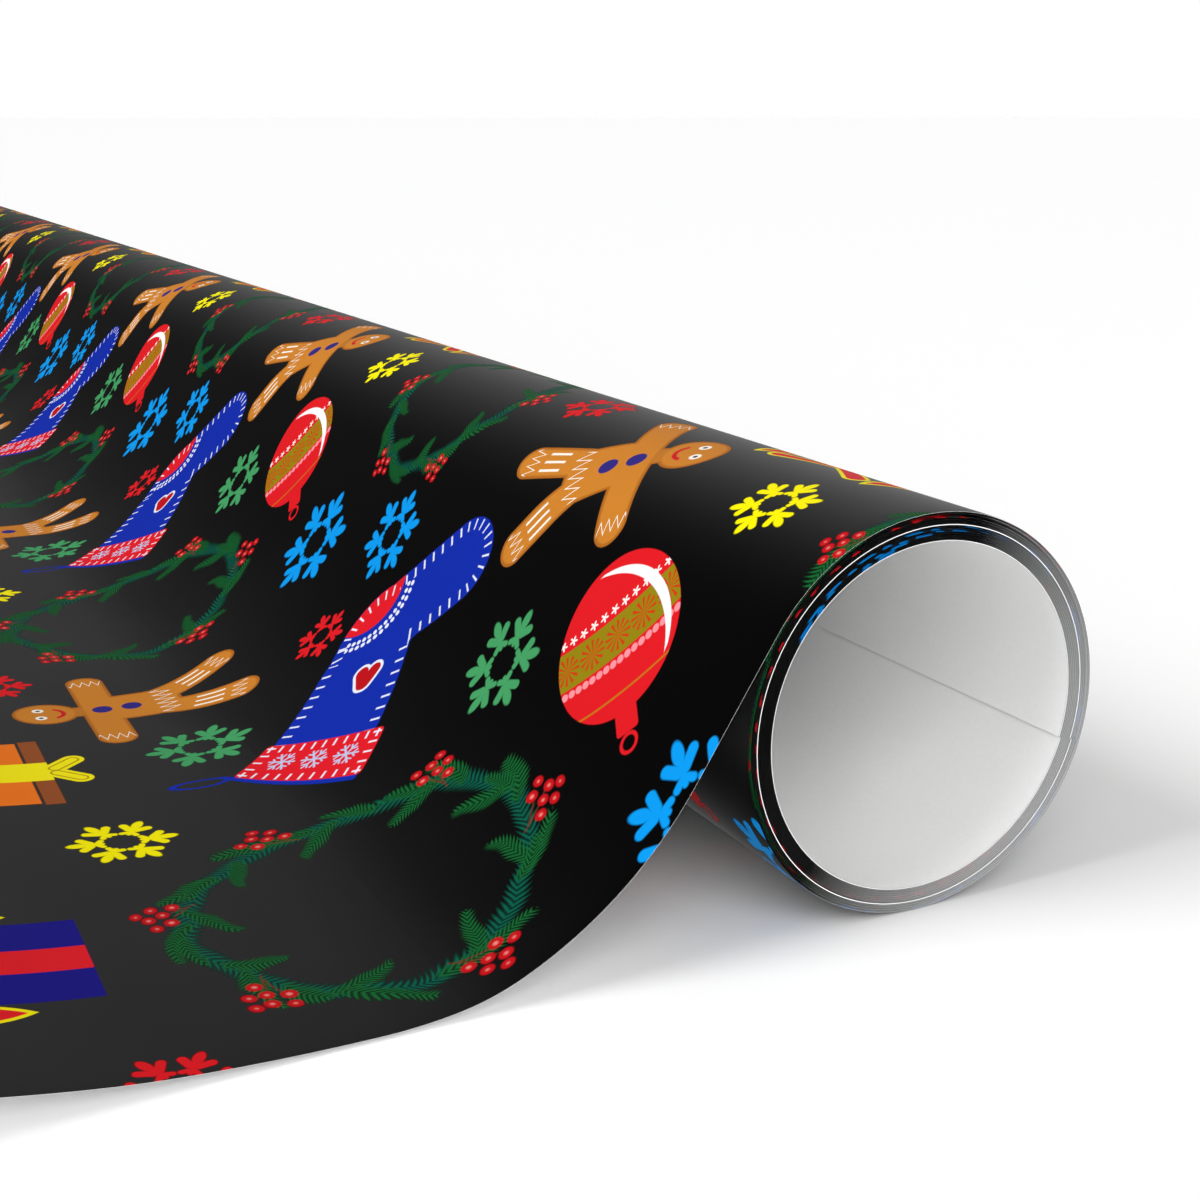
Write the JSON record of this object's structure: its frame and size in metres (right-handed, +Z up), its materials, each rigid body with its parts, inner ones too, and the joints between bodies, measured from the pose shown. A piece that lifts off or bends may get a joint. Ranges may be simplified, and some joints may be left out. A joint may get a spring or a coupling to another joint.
{
  "type": "wrapping paper roll",
  "caption": "Coreless roll of printed gift wrapping paper lying on its side, with its leading sheet pulled loose over the floor.",
  "frame": {"origin": "on the roll's axis at the middle of its width", "axes": "+X along the roll towards its near end, -Y the way the loose sheet runs, +Z up from the floor"},
  "size_m": [0.762, 0.1487, 0.0464],
  "materials": {
    "printed_paper": "satin coated face with a printed pattern on black, white uncoated back and white cut edges",
    "white_back": "matt white uncoated back of the web, seen inside the bore"
  },
  "bodies": {
    "outer_turn": {"turn_12": "printed_paper", "leading_wrap": "printed_paper"},
    "turn_11": {"turn_11": "printed_paper"},
    "turn_10": {"turn_10": "printed_paper"},
    "turn_09": {"turn_09": "printed_paper"},
    "turn_08": {"turn_08": "printed_paper"},
    "turn_07": {"turn_07": "printed_paper"},
    "turn_06": {"turn_06": "printed_paper"},
    "turn_05": {"turn_05": "printed_paper"},
    "turn_04": {"turn_04": "printed_paper"},
    "turn_03": {"turn_03": "printed_paper"},
    "turn_02": {"turn_02": "printed_paper"},
    "turn_01": {"turn_01": "white_back"},
    "sheet_fall": {"sheet_fall": "printed_paper"},
    "sheet_foot": {"sheet_foot": "printed_paper"},
    "sheet_tail": {"sheet_tail": "printed_paper"},
    "sheet_end": {"sheet_end": "printed_paper"}
  },
  "joints": [
    {"name": "coil_spin", "type": "hinge", "parent": "outer_turn", "child": "turn_11", "pos_m": [0, 0, 0], "axis": [1, 0, 0], "continuous": true},
    {"name": "telescope_10", "type": "slide", "parent": "turn_11", "child": "turn_10", "axis": [1, 0, 0], "range_m": [-0.003, 0.003]},
    {"name": "telescope_09", "type": "slide", "parent": "turn_10", "child": "turn_09", "axis": [1, 0, 0], "range_m": [-0.003, 0.003]},
    {"name": "telescope_08", "type": "slide", "parent": "turn_09", "child": "turn_08", "axis": [1, 0, 0], "range_m": [-0.003, 0.003]},
    {"name": "telescope_07", "type": "slide", "parent": "turn_08", "child": "turn_07", "axis": [1, 0, 0], "range_m": [-0.003, 0.003]},
    {"name": "telescope_06", "type": "slide", "parent": "turn_07", "child": "turn_06", "axis": [1, 0, 0], "range_m": [-0.003, 0.003]},
    {"name": "telescope_05", "type": "slide", "parent": "turn_06", "child": "turn_05", "axis": [1, 0, 0], "range_m": [-0.003, 0.003]},
    {"name": "telescope_04", "type": "slide", "parent": "turn_05", "child": "turn_04", "axis": [1, 0, 0], "range_m": [-0.003, 0.003]},
    {"name": "telescope_03", "type": "slide", "parent": "turn_04", "child": "turn_03", "axis": [1, 0, 0], "range_m": [-0.003, 0.003]},
    {"name": "telescope_02", "type": "slide", "parent": "turn_03", "child": "turn_02", "axis": [1, 0, 0], "range_m": [-0.003, 0.003]},
    {"name": "telescope_01", "type": "slide", "parent": "turn_02", "child": "turn_01", "axis": [1, 0, 0], "range_m": [-0.003, 0.003]},
    {"name": "sheet_swing", "type": "hinge", "parent": "outer_turn", "child": "sheet_fall", "pos_m": [0, -0.01965, 0.01252], "axis": [-1, 0, 0], "range_deg": [0, 25]},
    {"name": "sheet_flex", "type": "hinge", "parent": "sheet_fall", "child": "sheet_foot", "pos_m": [0, -0.04057, -0.01461], "axis": [-1, 0, 0], "range_deg": [0, 20]},
    {"name": "tail_lift", "type": "hinge", "parent": "sheet_foot", "child": "sheet_tail", "pos_m": [0, -0.07124, -0.02288], "axis": [-1, 0, 0], "range_deg": [0, 30]},
    {"name": "tail_curl", "type": "hinge", "parent": "sheet_tail", "child": "sheet_end", "pos_m": [0, -0.09987, -0.01951], "axis": [-1, 0, 0], "range_deg": [0, 30]}
  ],
  "couplings": [
    {"joint": "telescope_09", "follows": "telescope_10", "ratio": 1},
    {"joint": "telescope_08", "follows": "telescope_10", "ratio": 1},
    {"joint": "telescope_07", "follows": "telescope_10", "ratio": 1},
    {"joint": "telescope_06", "follows": "telescope_10", "ratio": 1},
    {"joint": "telescope_05", "follows": "telescope_10", "ratio": 1},
    {"joint": "telescope_04", "follows": "telescope_10", "ratio": 1},
    {"joint": "telescope_03", "follows": "telescope_10", "ratio": 1},
    {"joint": "telescope_02", "follows": "telescope_10", "ratio": 1},
    {"joint": "telescope_01", "follows": "telescope_10", "ratio": 1},
    {"joint": "sheet_flex", "follows": "sheet_swing", "ratio": 0.8},
    {"joint": "tail_curl", "follows": "tail_lift", "ratio": 1}
  ]
}
